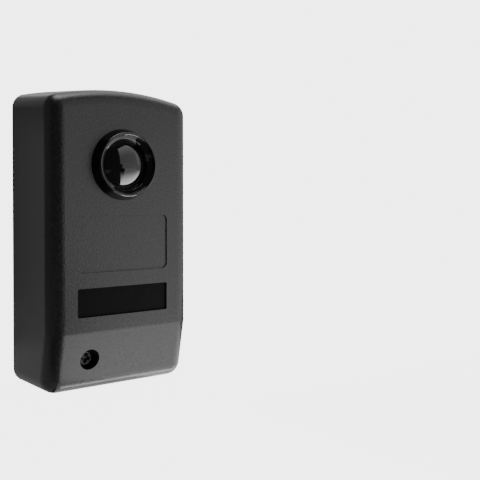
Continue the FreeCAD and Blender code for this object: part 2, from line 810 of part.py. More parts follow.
# Fasteners, with a cross recess in proportion to the head

CROSS_REACH = 0.58
CROSS_BLADE = 0.16
CROSS_DEPTH = 0.6


def pan_screw(name, x, z, seat, head_radius, head_height, shank_radius, length):
    """A pan head screw along Y whose head stands on the plane y = seat, with a cross recess."""
    top = seat - head_height
    bevel = head_height / 3
    tip = seat + length
    points = [
        (ZERO, top),
        (head_radius - bevel, top),
        (head_radius, top + bevel),
        (head_radius, seat),
        (shank_radius, seat),
        (shank_radius, tip),
        (ZERO, tip),
    ]
    blank = turned(f"{name}_blank", points, x, z)
    arm = head_radius * CROSS_REACH
    blade = head_radius * CROSS_BLADE
    recess = (top - SWELL, top + head_height * CROSS_DEPTH)
    arms = [
        block(f"{name}_arm_1", (x - arm, x + arm), recess, (z - blade, z + blade)),
        block(f"{name}_arm_2", (x - blade, x + blade), recess, (z - arm, z + arm)),
    ]
    return cut(name, blank, join(f"{name}_recess", arms))


def make_cover_screw():
    return pan_screw(
        "cover_screw",
        SCREW_X,
        SCREW_Z,
        RECESS_FLOOR - s.washer_thickness,
        s.screw_head_radius,
        s.screw_head_height,
        s.screw_shank_radius,
        s.screw_length,
    )


def make_screw_washer():
    inner = s.screw_shank_radius + s.slip_fit
    front = RECESS_FLOOR - s.washer_thickness
    return washer("screw_washer", inner, s.screw_head_radius, RECESS_FLOOR, front, SCREW_X, SCREW_Z)


def make_board_screws():
    screws = [
        pan_screw(
            f"board_screw_{number}",
            x,
            z,
            BOARD_FRONT,
            s.board_screw_head_radius,
            s.board_screw_head_height,
            s.board_screw_shank_radius,
            s.board_screw_length,
        )
        for number, (x, z) in enumerate(STANDS, 1)
    ]
    return group("board_screws", screws)


def make_cable_grommet():
    back = -s.grommet_sink
    web_back = back - s.grommet_flange_thickness
    flange_front = PLATE_FRONT - s.grommet_flange_thickness
    tip = flange_front - s.grommet_nozzle_length
    flange = s.grommet_neck_radius + s.grommet_flange_width
    bore = s.inlet_bore_radius
    points = [
        (bore, back),
        (bore, tip),
        (bore + s.grommet_nozzle_wall, tip),
        (bore + s.grommet_nozzle_wall, flange_front),
        (flange, flange_front),
        (flange, PLATE_FRONT),
        (s.grommet_neck_radius, PLATE_FRONT),
        (s.grommet_neck_radius, web_back),
        (flange, web_back),
        (flange, back),
    ]
    return turned("cable_grommet", points, INLET_X, INLET_Z)


# Circuit board and the parts on it


def make_circuit_board():
    loop = [
        (-BOARD_HALF, BOARD_LOW),
        (NOTCH_X, BOARD_LOW),
        (NOTCH_X, NOTCH_Z),
        (BOARD_HALF, NOTCH_Z),
        (BOARD_HALF, BOARD_TOP),
        (-BOARD_HALF, BOARD_TOP),
    ]
    hole = s.board_screw_shank_radius + s.screw_fit
    return padded("circuit_board", loop, BOARD_BACK, s.board_thickness, [(x, z, hole) for x, z in STANDS])


def legs_at(name, spots, start):
    """Square legs along Y, from the plane y = start to the board."""
    half = s.leg_width / 2
    return [
        block(f"{name}_leg_{number}", (x - half, x + half), (start, BOARD_FRONT), (z - half, z + half))
        for number, (x, z) in enumerate(spots, 1)
    ]


def make_photodiode():
    back = BOARD_FRONT - s.diode_lift
    half_width = s.diode_width / 2
    half_depth = s.diode_depth / 2
    body = block(
        "photodiode_body",
        (-half_width, half_width),
        (back - s.diode_height, back),
        (LENS_Z - half_depth, LENS_Z + half_depth),
    )
    spots = [(side * s.leg_pitch, LENS_Z) for side in (-1, 1)]
    return join("photodiode", [body, *legs_at("photodiode", spots, back - s.leg_width)])


def make_diode_holder():
    outer = s.holder_radius + s.holder_wall
    front = BOARD_FRONT - s.holder_height
    return washer("diode_holder", s.holder_radius, outer, BOARD_FRONT, front, ZERO, LENS_Z)


def make_indicator_lamp():
    foot = BOARD_FRONT - s.lamp_flange_thickness
    top = BOARD_FRONT - s.lamp_height
    points = [
        (ZERO, top),
        (s.lamp_radius, top),
        (s.lamp_radius, foot),
        (s.lamp_flange_radius, foot),
        (s.lamp_flange_radius, BOARD_FRONT),
        (ZERO, BOARD_FRONT),
    ]
    return turned("indicator_lamp", points, s.lamp_across, WINDOW_Z)


TERMINAL_RIGHT = NOTCH_X - s.terminal_gap
TERMINAL_LEFT = TERMINAL_RIGHT - s.pole_count * s.pole_pitch
TERMINAL_LOW = BOARD_LOW + s.edge_gap / 2
TERMINAL_TOP = TERMINAL_LOW + s.terminal_depth
TERMINAL_FRONT = BOARD_FRONT - s.terminal_height
POLES = [
    TERMINAL_LEFT + s.pole_pitch * (number + 0.5)
    for number in range(round(s.pole_count.number))
]
ENTRY_BACK = BOARD_FRONT - s.entry_rise
ENTRY_FRONT = ENTRY_BACK - s.entry_height
SCREW_BORE_Z = TERMINAL_LOW + s.entry_depth / 2


def make_terminal_block():
    body = doc.addObject("PartDesign::Body", "terminal_body")
    sketch = make_sketch(body, "YZ_Plane", "terminal_profile")
    loop = [
        (BOARD_FRONT, TERMINAL_LOW),
        (TERMINAL_FRONT, TERMINAL_LOW),
        (TERMINAL_FRONT, TERMINAL_TOP - s.terminal_step),
        (TERMINAL_FRONT + s.terminal_step, TERMINAL_TOP),
        (BOARD_FRONT, TERMINAL_TOP),
    ]
    draw_loop(sketch, loop)
    pad = body.newObject("PartDesign::Pad", "terminal_pad")
    pad.Profile = sketch
    bind(pad, "Length", s.pole_count * s.pole_pitch)
    place(body, TERMINAL_LEFT, ZERO, ZERO)
    tools = []
    for number, x in enumerate(POLES, 1):
        entry_x = (x - s.entry_width / 2, x + s.entry_width / 2)
        entry_z = (TERMINAL_LOW - SWELL, TERMINAL_LOW + s.entry_depth)
        tools.append(block(f"terminal_entry_{number}", entry_x, (ENTRY_FRONT, ENTRY_BACK), entry_z))
        bore = s.terminal_screw_radius + s.slip_fit
        start = TERMINAL_FRONT - SWELL
        tools.append(rod(f"terminal_bore_{number}", bore, (x, start, SCREW_BORE_Z), ENTRY_FRONT - start))
    return cut("terminal_block", body, join("terminal_cuts", tools))


def make_terminal_clamps():
    clamps = []
    for number, x in enumerate(POLES, 1):
        half = s.entry_width / 2 - s.slip_fit / 2
        outer = block(
            f"clamp_outer_{number}",
            (x - half, x + half),
            (ENTRY_FRONT, ENTRY_BACK),
            (TERMINAL_LOW + s.clamp_wall, TERMINAL_LOW + s.entry_depth),
        )
        inner = block(
            f"clamp_inner_{number}",
            (x - half + s.clamp_wall, x + half - s.clamp_wall),
            (ENTRY_FRONT + s.clamp_wall, ENTRY_BACK - s.clamp_wall),
            (TERMINAL_LOW, TERMINAL_LOW + s.entry_depth + SWELL),
        )
        clamps.append(cut(f"clamp_{number}", outer, inner))
    return group("terminal_clamps", clamps)


def make_terminal_screws():
    top = TERMINAL_FRONT + s.terminal_screw_sink
    screws = []
    for number, x in enumerate(POLES, 1):
        start = (x, top, SCREW_BORE_Z)
        shank = rod(f"terminal_shank_{number}", s.terminal_screw_radius, start, ENTRY_FRONT - top)
        half = s.terminal_slot / 2
        reach = s.terminal_screw_radius + SWELL
        slot = block(
            f"terminal_slot_{number}",
            (x - reach, x + reach),
            (top - SWELL, top + s.terminal_slot),
            (SCREW_BORE_Z - half, SCREW_BORE_Z + half),
        )
        screws.append(cut(f"terminal_screw_{number}", shank, slot))
    return group("terminal_screws", screws)


VARISTOR_LOW = TERMINAL_TOP + s.part_gap
STAND_EDGE = BOARD_LOW + s.stand_low + s.stand_radius
POWER_ROW = larger(VARISTOR_LOW + s.varistor_thickness, STAND_EDGE) + s.part_gap
RELAY_LEFT = s.edge_gap - BOARD_HALF
REGULATOR_LEFT = RELAY_LEFT + s.relay_width + s.part_gap
FILTER_X = BOARD_HALF - s.edge_gap - s.filter_radius
UPPER_ROW = larger(POWER_ROW + s.relay_depth, POWER_ROW + 2 * s.filter_radius) + s.part_gap
SMALL_LEFT = RELAY_LEFT + s.rectifier_length + 2 * s.rectifier_tab + s.part_gap
RESISTOR_LEFT = SMALL_LEFT + 2 * s.small_radius + s.part_gap


def make_relay():
    low = POWER_ROW
    body = padded(
        "relay",
        rectangle((RELAY_LEFT, RELAY_LEFT + s.relay_width), (low, low + s.relay_depth)),
        BOARD_FRONT,
        s.relay_height,
    )
    doc.recompute()
    pad = body.Tip
    seat = BOARD_FRONT.number
    names = [
        f"Edge{number}"
        for number, edge in enumerate(pad.Shape.Edges, 1)
        if edge.BoundBox.YMin < seat - s.relay_edge.number
    ]
    bevel = body.newObject("PartDesign::Chamfer", "relay_edges")
    bevel.Base = (pad, names)
    bind(bevel, "Size", s.relay_edge)
    return body


def make_varistor():
    low = VARISTOR_LOW
    y = BOARD_FRONT - s.varistor_lift - s.varistor_radius
    x = s.varistor_across
    disc = rod("varistor_disc", s.varistor_radius, (x, y, low), s.varistor_thickness, "z")
    middle = low + s.varistor_thickness / 2
    spots = [(x + side * s.varistor_radius / 2, middle) for side in (-1, 1)]
    return join("varistor", [disc, *legs_at("varistor", spots, y)])


def can_capacitor(name, x, z, radius, height):
    """An electrolytic can with a bevelled top edge, standing on the board."""
    top = BOARD_FRONT - height
    points = [
        (ZERO, top),
        (radius - s.can_bevel, top),
        (radius, top + s.can_bevel),
        (radius, BOARD_FRONT),
        (ZERO, BOARD_FRONT),
    ]
    return turned(name, points, x, z)


def make_filter_capacitor():
    z = POWER_ROW + s.filter_radius
    return can_capacitor("filter_capacitor", FILTER_X, z, s.filter_radius, s.filter_height)


def make_small_capacitors():
    x = SMALL_LEFT + s.small_radius
    cans = []
    for number in range(2):
        z = UPPER_ROW + s.small_radius + s.small_pitch * number
        cans.append(can_capacitor(f"small_capacitor_{number + 1}", x, z, s.small_radius, s.small_height))
    return group("small_capacitors", cans)


def make_voltage_regulator():
    middle = POWER_ROW + s.regulator_width / 2
    low = POWER_ROW
    back = BOARD_FRONT - s.regulator_lift
    front = back - s.regulator_height
    left = REGULATOR_LEFT
    width = (low, low + s.regulator_width)
    tab_x = (left, left + s.tab_thickness)
    body_x = (left + s.tab_thickness / 2, left + s.tab_thickness + s.regulator_thickness)
    body = block("regulator_body", body_x, (front, back), width)
    tab = block("regulator_tab", tab_x, (front - s.tab_height, back), width)
    leg_x = left + s.tab_thickness + s.regulator_thickness / 2
    spots = [(leg_x, middle + s.leg_pitch * step) for step in (-1, 0, 1)]
    solid = join("regulator_solid", [body, tab, *legs_at("regulator", spots, back - s.leg_width)])
    hole_y = front - s.tab_height / 2
    hole = rod(
        "regulator_hole",
        s.tab_hole_radius,
        (left - SWELL, hole_y, middle),
        s.tab_thickness + 2 * SWELL,
        "x",
    )
    return cut("voltage_regulator", solid, hole)


def make_decoder_chip():
    low = UPPER_ROW
    half_row = s.chip_row_width / 2
    x = BOARD_HALF - s.edge_gap - half_row - s.leg_width
    back = BOARD_FRONT - s.chip_lift
    front = back - s.chip_height
    half = s.chip_width / 2
    body = block("chip_body", (x - half, x + half), (front, back), (low, low + s.chip_length))
    foot = s.leg_width / 2
    shoulder = (front + back) / 2
    pieces = [body]
    count = round(s.chip_legs.number)
    for number in range(count):
        z = low + s.chip_length / 2 + s.leg_pitch * (number - (count - 1) / 2)
        leg_z = (z - foot, z + foot)
        for side in (-1, 1):
            outside = x + side * (half_row + foot)
            inside = x + side * (half_row - foot)
            edge = x + side * (half - foot)
            name = f"chip_leg_{number}_{'left' if side < 0 else 'right'}"
            span = (outside, edge) if side < 0 else (edge, outside)
            drop = (outside, inside) if side < 0 else (inside, outside)
            pieces.append(block(f"{name}_arm", span, (shoulder - foot, shoulder + foot), leg_z))
            pieces.append(block(f"{name}_foot", drop, (shoulder, BOARD_FRONT), leg_z))
    solid = join("chip_solid", pieces)
    mark = rod(
        "chip_mark",
        s.chip_notch_radius,
        (x, front - SWELL, low + s.chip_length),
        SWELL + s.chip_height / 4,
    )
    return cut("decoder_chip", solid, mark)


def make_rectifier_diodes():
    """Surface mounted diodes: a body with leaning ends and a tab folded under each end."""
    x = RELAY_LEFT + s.rectifier_tab + s.rectifier_length / 2
    half = s.rectifier_length / 2
    middle = BOARD_FRONT - s.rectifier_height / 2
    top = BOARD_FRONT - s.rectifier_height
    lift = BOARD_FRONT - s.rectifier_waist / 2
    waist = half - s.rectifier_waist
    loop = [(-waist, lift), (-half, middle), (-waist, top), (waist, top), (half, middle), (waist, lift)]
    parts = []
    for number in range(round(s.rectifier_count.number)):
        z = UPPER_ROW + s.rectifier_pitch * number
        name = f"rectifier_diode_{number + 1}"
        body = doc.addObject("PartDesign::Body", f"{name}_body")
        sketch = make_sketch(body, "XY_Plane", f"{name}_profile")
        draw_loop(sketch, loop)
        pad = body.newObject("PartDesign::Pad", f"{name}_pad")
        pad.Profile = sketch
        bind(pad, "Length", s.rectifier_width)
        place(body, x, ZERO, z)
        tab_z = (z + s.rectifier_width / 4, z + s.rectifier_width * 3 / 4)
        tabs = []
        for side in (-1, 1):
            near = x + side * (half - s.rectifier_waist)
            far = x + side * (half + s.rectifier_tab)
            span = (far, near) if side < 0 else (near, far)
            tabs.append(block(f"{name}_tab_{len(tabs) + 1}", span, (middle, BOARD_FRONT), tab_z))
        parts.append(join(name, [body, *tabs]))
    return group("rectifier_diodes", parts)


def make_resistors():
    """Surface mounted resistors in a row."""
    y_range = (BOARD_FRONT - s.resistor_height, BOARD_FRONT)
    z_range = (UPPER_ROW, UPPER_ROW + s.resistor_length)
    parts = []
    for number in range(round(s.resistor_count.number)):
        x = RESISTOR_LEFT + s.resistor_pitch * number
        parts.append(block(f"resistor_{number + 1}", (x, x + s.resistor_width), y_range, z_range))
    return group("resistors", parts)


MAKERS = {
    "front_cover": make_front_cover,
    "back_plate": make_back_plate,
    "cover_seal": make_cover_seal,
    "lens_ring": make_lens_ring,
    "lens": make_lens,
    "lens_seal": make_lens_seal,
    "lens_retainer": make_lens_retainer,
    "indicator_window": make_indicator_window,
    "cover_screw": make_cover_screw,
    "screw_washer": make_screw_washer,
    "cable_grommet": make_cable_grommet,
    "circuit_board": make_circuit_board,
    "board_screws": make_board_screws,
    "photodiode": make_photodiode,
    "diode_holder": make_diode_holder,
    "indicator_lamp": make_indicator_lamp,
    "terminal_block": make_terminal_block,
    "terminal_clamps": make_terminal_clamps,
    "terminal_screws": make_terminal_screws,
    "relay": make_relay,
    "varistor": make_varistor,
    "filter_capacitor": make_filter_capacitor,
    "small_capacitors": make_small_capacitors,
    "voltage_regulator": make_voltage_regulator,
    "decoder_chip": make_decoder_chip,
    "rectifier_diodes": make_rectifier_diodes,
    "resistors": make_resistors,
}


def main():
    pieces = {}
    for label, make in MAKERS.items():
        pieces[label] = make()
        pieces[label].Label = label
    doc.recompute()
    for thing in doc.Objects:
        if "Invalid" in thing.State or "Error" in thing.State:
            raise RuntimeError(f"{thing.Name} failed: {thing.State}")
    for label, piece in pieces.items():
        if piece.Shape.isNull() or not piece.Shape.isValid() or not piece.Shape.Solids:
            raise RuntimeError(f"{label} has no valid solid")
    os.makedirs("parts", exist_ok=True)
    for label, piece in pieces.items():
        piece.Shape.exportStep(f"parts/{label}.step")
        print(label, len(piece.Shape.Solids), "solids", round(piece.Shape.Volume, 2), "mm3")


main()
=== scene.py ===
"""Looks of the gate photocell, in metres and in the part's own frame.

The wall plane is y = 0 and the front looks along -Y. The camera stands in front of the part, to its left.
Outlines of turned pieces are in millimetres, as (radius, height in front of a named plane).
"""
import json
import math

import bmesh
import bpy
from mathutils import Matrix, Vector


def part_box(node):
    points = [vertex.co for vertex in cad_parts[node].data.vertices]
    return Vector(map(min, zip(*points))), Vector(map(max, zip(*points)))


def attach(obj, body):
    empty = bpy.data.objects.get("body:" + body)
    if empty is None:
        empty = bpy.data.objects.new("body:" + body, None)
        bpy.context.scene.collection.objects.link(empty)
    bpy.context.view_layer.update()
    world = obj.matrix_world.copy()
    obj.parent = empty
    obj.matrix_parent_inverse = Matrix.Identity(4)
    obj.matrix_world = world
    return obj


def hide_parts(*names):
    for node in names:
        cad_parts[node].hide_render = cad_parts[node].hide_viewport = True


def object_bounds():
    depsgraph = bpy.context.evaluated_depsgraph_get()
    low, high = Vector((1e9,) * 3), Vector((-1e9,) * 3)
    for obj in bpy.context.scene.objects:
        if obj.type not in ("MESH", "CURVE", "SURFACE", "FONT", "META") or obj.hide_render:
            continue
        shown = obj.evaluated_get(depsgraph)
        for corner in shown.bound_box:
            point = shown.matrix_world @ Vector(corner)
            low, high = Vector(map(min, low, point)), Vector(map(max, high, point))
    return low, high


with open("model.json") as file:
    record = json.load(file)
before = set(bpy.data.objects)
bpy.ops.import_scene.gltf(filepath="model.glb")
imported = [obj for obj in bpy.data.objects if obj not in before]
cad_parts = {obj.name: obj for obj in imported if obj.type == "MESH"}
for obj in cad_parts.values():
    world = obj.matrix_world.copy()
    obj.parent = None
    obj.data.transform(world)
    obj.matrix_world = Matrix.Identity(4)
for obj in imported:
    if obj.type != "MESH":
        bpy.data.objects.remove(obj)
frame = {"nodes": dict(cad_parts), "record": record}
CAD_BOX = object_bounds()
MM = 0.001
UM = 1e-6
FLOOR = CAD_BOX[0][2]

# Camera, fitted to the edges of the part in the photograph

CAMERA_PLACE = Vector((-135.4, -274.2, 15.25)) * MM
CAMERA_YAW = 37.93
CAMERA_PITCH = 0.94
CAMERA_LENS = 57.0
CAMERA_SHIFT_UP = -0.0709
CAMERA_NEAR_LIMIT = 0.01


def make_camera():
    data = bpy.data.cameras.new("camera")
    data.lens = CAMERA_LENS
    data.shift_y = CAMERA_SHIFT_UP
    data.clip_start = CAMERA_NEAR_LIMIT
    camera = bpy.data.objects.new("camera", data)
    camera.location = CAMERA_PLACE
    camera.rotation_euler = (math.radians(90 - CAMERA_PITCH), 0, math.radians(-CAMERA_YAW))
    bpy.context.collection.objects.link(camera)
    bpy.context.scene.camera = camera


# Materials

WHITE = (1, 1, 1, 1)
BLACK = (0, 0, 0, 1)
NOISE_LOW = 0.3
NOISE_HIGH = 0.7
PATCH_DETAIL = 2
GRAIN_DETAIL = 3
# Gloss varies this many times less than colour
GLOSS_STEADINESS = 6

FINISHES = {
    "case_plastic": dict(
        colour=(0.013, 0.013, 0.0135), roughness=0.33, grain=0.7 * MM, depth=80 * UM,
        patch=0.9 * MM, spread=0.5, walls=0.1,
    ),
    "plate_plastic": dict(colour=(0.012, 0.012, 0.0125), roughness=0.42, grain=0.3 * MM, depth=6 * UM),
    "ring_plastic": dict(
        colour=(0.003, 0.003, 0.0032), roughness=0.07, grain=2 * MM, depth=1 * UM, spread=0.15,
    ),
    "lens_filter": dict(
        colour=(0.002, 0.0018, 0.0022), roughness=0.07, grain=3 * MM, depth=0.5 * UM,
        spread=0.1, specular=0.57,
    ),
    "window_filter": dict(
        colour=(0.004, 0.004, 0.0045), roughness=0.5, grain=0.2 * MM, depth=3 * UM, specular=0.06,
    ),
    "seal_rubber": dict(colour=(0.01, 0.01, 0.01), roughness=0.7, grain=0.2 * MM, depth=8 * UM),
    "screw_steel": dict(
        colour=(0.065, 0.065, 0.067), roughness=0.55, grain=0.15 * MM, depth=4 * UM, metallic=1.0,
    ),
    "board_laminate": dict(colour=(0.012, 0.09, 0.035), roughness=0.35, grain=0.5 * MM, depth=6 * UM),
    "component_black": dict(colour=(0.012, 0.012, 0.0125), roughness=0.5, grain=0.15 * MM, depth=5 * UM),
    "relay_case": dict(colour=(0.012, 0.06, 0.22), roughness=0.25, grain=0.8 * MM, depth=2 * UM),
    "terminal_plastic": dict(colour=(0.03, 0.22, 0.08), roughness=0.35, grain=0.4 * MM, depth=3 * UM),
    "plated_metal": dict(
        colour=(0.62, 0.61, 0.58), roughness=0.28, grain=0.2 * MM, depth=3 * UM, metallic=1.0,
    ),
    "varistor_coat": dict(colour=(0.02, 0.09, 0.33), roughness=0.32, grain=0.9 * MM, depth=10 * UM),
    "capacitor_sleeve": dict(colour=(0.015, 0.022, 0.07), roughness=0.28, grain=1.2 * MM, depth=4 * UM),
    "resistor_coat": dict(colour=(0.45, 0.33, 0.19), roughness=0.4, grain=0.3 * MM, depth=3 * UM),
    "lamp_lens": dict(colour=(0.5, 0.02, 0.012), roughness=0.12, grain=1.0 * MM, depth=1 * UM),
}


def new_material(name):
    material = bpy.data.materials.new(name)
    material.use_nodes = True
    return material, material.node_tree.nodes["Principled BSDF"]


def noise_of(tree, place, size, detail):
    noise = tree.nodes.new("ShaderNodeTexNoise")
    noise.inputs["Scale"].default_value = 1 / size
    noise.inputs["Detail"].default_value = detail
    tree.links.new(place.outputs["Object"], noise.inputs["Vector"])
    return noise.outputs["Fac"]


def vary(tree, noise, low, high, socket):
    """Drives a number of the shader between two values."""
    reach = tree.nodes.new("ShaderNodeMapRange")
    reach.inputs["From Min"].default_value = NOISE_LOW
    reach.inputs["From Max"].default_value = NOISE_HIGH
    reach.inputs["To Min"].default_value = low
    reach.inputs["To Max"].default_value = high
    tree.links.new(noise, reach.inputs["Value"])
    tree.links.new(reach.outputs["Result"], socket)


def tint(tree, noise, dark, light, socket):
    """Drives a colour of the shader between two colours."""
    ramp = tree.nodes.new("ShaderNodeValToRGB")
    first, last = ramp.color_ramp.elements
    first.position = NOISE_LOW
    first.color = (*dark, 1)
    last.position = NOISE_HIGH
    last.color = (*light, 1)
    tree.links.new(noise, ramp.inputs["Fac"])
    tree.links.new(ramp.outputs["Color"], socket)


def fade_on_walls(tree, place, least, socket):
    """Drives a number of the shader from 1 on faces across Y down to a least value on walls along Y."""
    axes = tree.nodes.new("ShaderNodeSeparateXYZ")
    size = tree.nodes.new("ShaderNodeMath")
    size.operation = "ABSOLUTE"
    reach = tree.nodes.new("ShaderNodeMapRange")
    reach.inputs["To Min"].default_value = least
    reach.inputs["To Max"].default_value = 1
    tree.links.new(place.outputs["Normal"], axes.inputs["Vector"])
    tree.links.new(axes.outputs["Y"], size.inputs[0])
    tree.links.new(size.outputs["Value"], reach.inputs["Value"])
    tree.links.new(reach.outputs["Result"], socket)


def surface(
    name, colour, roughness, grain, depth,
    patch=6 * MM, spread=0.2, specular=0.5, metallic=0.0, walls=None,
):
    """A surface with a fine grain, and soft patches in its colour and, less, in its gloss.

    Grain and patch are the sizes of the two, and depth is the grain's. Spread is the share by which the
    colour varies. Where walls is given, it is the share of the grain's depth left on walls along Y.
    """
    material, shader = new_material(name)
    tree = material.node_tree
    place = tree.nodes.new("ShaderNodeTexCoord")
    patches = noise_of(tree, place, patch, PATCH_DETAIL)
    dark = [part * (1 - spread) for part in colour]
    light = [part * (1 + spread) for part in colour]
    tint(tree, patches, dark, light, shader.inputs["Base Color"])
    unevenness = spread / GLOSS_STEADINESS
    glossiest = roughness * (1 - unevenness)
    dullest = roughness * (1 + unevenness)
    vary(tree, patches, glossiest, dullest, shader.inputs["Roughness"])
    shader.inputs["Specular IOR Level"].default_value = specular
    shader.inputs["Metallic"].default_value = metallic
    bump = tree.nodes.new("ShaderNodeBump")
    bump.inputs["Strength"].default_value = 1
    if walls is not None:
        fade_on_walls(tree, place, walls, bump.inputs["Strength"])
    bump.inputs["Distance"].default_value = depth
    tree.links.new(noise_of(tree, place, grain, GRAIN_DETAIL), bump.inputs["Height"])
    tree.links.new(bump.outputs["Normal"], shader.inputs["Normal"])
    return material


def dress_nodes(materials):
    slots = {part["node"]: part["material_slot"] for part in frame["record"]["subparts"]}
    for name, node in frame["nodes"].items():
        node.data.materials.clear()
        node.data.materials.append(materials[slots[name]])


# Room: dark, with a soft light overhead, a pale glowing floor and a plain backdrop

ROOM_DARK = 0.08
TOP_LIGHT = 6.0
TOP_LIGHT_START = 0.9
TOP_LIGHT_FULL = 0.99
BACKDROP = 4.5
FLOOR_CENTRE = (0.04, 0.0)
FLOOR_RADIUS = 0.5
FLOOR_CORNERS = 96
FLOOR_WHITE = 0.12
FLOOR_GLOW = 4.38


def make_world():
    """The room as the part sees it, and the plain backdrop that the camera sees behind the part."""
    world = bpy.data.worlds.new("studio")
    world.use_nodes = True
    nodes = world.node_tree.nodes
    links = world.node_tree.links
    direction = nodes.new("ShaderNodeTexCoord")
    axes = nodes.new("ShaderNodeSeparateXYZ")
    overhead = nodes.new("ShaderNodeMapRange")
    overhead.interpolation_type = "SMOOTHSTEP"
    overhead.inputs["From Min"].default_value = TOP_LIGHT_START
    overhead.inputs["From Max"].default_value = TOP_LIGHT_FULL
    overhead.inputs["To Min"].default_value = ROOM_DARK
    overhead.inputs["To Max"].default_value = TOP_LIGHT
    room = nodes["Background"]
    room.inputs["Color"].default_value = WHITE
    backdrop = nodes.new("ShaderNodeBackground")
    backdrop.inputs["Color"].default_value = WHITE
    backdrop.inputs["Strength"].default_value = BACKDROP
    path = nodes.new("ShaderNodeLightPath")
    mix = nodes.new("ShaderNodeMixShader")
    links.new(direction.outputs["Generated"], axes.inputs["Vector"])
    links.new(axes.outputs["Z"], overhead.inputs["Value"])
    links.new(overhead.outputs["Result"], room.inputs["Strength"])
    links.new(path.outputs["Is Camera Ray"], mix.inputs["Fac"])
    links.new(room.outputs["Background"], mix.inputs[1])
    links.new(backdrop.outputs["Background"], mix.inputs[2])
    links.new(mix.outputs["Shader"], nodes["World Output"].inputs["Surface"])
    bpy.context.scene.world = world


def make_floor():
    """A round sheet of pale paper. The part doesn't see it: lights on the floor stand for its lit parts."""
    mesh = bpy.data.meshes.new("floor")
    rim = []
    for step in range(FLOOR_CORNERS):
        angle = 2 * math.pi * step / FLOOR_CORNERS
        x = FLOOR_CENTRE[0] + FLOOR_RADIUS * math.cos(angle)
        y = FLOOR_CENTRE[1] + FLOOR_RADIUS * math.sin(angle)
        rim.append((x, y, FLOOR))
    mesh.from_pydata(rim, [], [range(FLOOR_CORNERS)])
    floor = bpy.data.objects.new("floor", mesh)
    floor.visible_glossy = False
    floor.visible_diffuse = False
    bpy.context.collection.objects.link(floor)
    material, shader = new_material("floor_paper")
    shader.inputs["Base Color"].default_value = (FLOOR_WHITE, FLOOR_WHITE, FLOOR_WHITE, 1)
    shader.inputs["Roughness"].default_value = 1
    shader.inputs["Specular IOR Level"].default_value = 0
    shader.inputs["Emission Color"].default_value = WHITE
    shader.inputs["Emission Strength"].default_value = FLOOR_GLOW
    mesh.materials.append(material)


# Lights: softboxes, floor lights and graded cards, set to bring the reflections near the photograph's

UPRIGHT = 90
FACE_UP = 180
UPPER_TURN = 38
LOWER_TURN = 17.8
LOWER_SIZE = (0.6, 0.115)
FAR_MIDDLE = (0.2933, -0.2569)
FAR_SIZE = (0.42, 0.5)
# Gaps above the floor: the lights of the lens or ring alone lie lowest, and the bright strip highest
FLOOR_GAP = 0.5 * MM
BRIGHT_STRIP_GAP = 0.8 * MM
LENS_FLOOR_GAP = 0.4 * MM
RING_STRIP_GAP = 0.3 * MM
LENS_CARD_GAP = 0.2 * MM


def softbox(name, place, turn, size, glow, tilt=UPRIGHT):
    """An even rectangular light. Turn is about Z, from facing +Y, and tilt is 0 where it faces down."""
    data = bpy.data.lights.new(name, "AREA")
    data.shape = "RECTANGLE"
    data.size, data.size_y = size
    data.energy = glow * math.pi * size[0] * size[1]
    light = bpy.data.objects.new(name, data)
    light.location = place
    light.rotation_euler = (math.radians(tilt), 0, math.radians(turn))
    light.visible_camera = False
    bpy.context.collection.objects.link(light)
    return light


def floor_light(name, middle, size, glow, turn=0, gap=FLOOR_GAP):
    """An even light that lies face up, a small gap above the floor."""
    return softbox(name, (*middle, FLOOR + gap), turn, size, glow, FACE_UP)


def glow_card(name, corner, size, glow, power, tilt=0, turn=0):
    """A sheet that is brightest along one edge, given by the left end of that edge.

    Its glow falls to nothing at the other edge, by a power of the distance left to it. Tilt 0 lies flat with
    the bright edge towards +Y, and upright has it on top.
    """
    width, length = size
    mesh = bpy.data.meshes.new(name)
    mesh.from_pydata([(0, 0, 0), (0, -length, 0), (width, -length, 0), (width, 0, 0)], [], [range(4)])
    card = bpy.data.objects.new(name, mesh)
    card.location = corner
    card.rotation_euler = (math.radians(tilt), 0, math.radians(turn))
    card.visible_camera = False
    card.visible_shadow = False
    bpy.context.collection.objects.link(card)
    material, shader = new_material(name)
    tree = material.node_tree
    place = tree.nodes.new("ShaderNodeTexCoord")
    axes = tree.nodes.new("ShaderNodeSeparateXYZ")
    near = tree.nodes.new("ShaderNodeMapRange")
    near.inputs["From Min"].default_value = -length
    near.inputs["From Max"].default_value = 0
    near.inputs["To Max"].default_value = glow ** (1 / power)
    fall = tree.nodes.new("ShaderNodeMath")
    fall.operation = "POWER"
    fall.inputs[1].default_value = power
    tree.links.new(place.outputs["Object"], axes.inputs["Vector"])
    tree.links.new(axes.outputs["Y"], near.inputs["Value"])
    tree.links.new(near.outputs["Result"], fall.inputs[0])
    tree.links.new(fall.outputs["Value"], shader.inputs["Emission Strength"])
    shader.inputs["Emission Color"].default_value = WHITE
    shader.inputs["Base Color"].default_value = BLACK
    shader.inputs["Specular IOR Level"].default_value = 0
    mesh.materials.append(material)
    return card


def link_light(light, piece, state):
    """Lets a light shine on one piece alone (INCLUDE), or on all but that piece (EXCLUDE)."""
    linked = bpy.data.collections.new(light.name + "_linked")
    linked.objects.link(piece)
    linked.collection_objects[0].light_linking.link_state = state
    light.light_linking.receiver_collection = linked


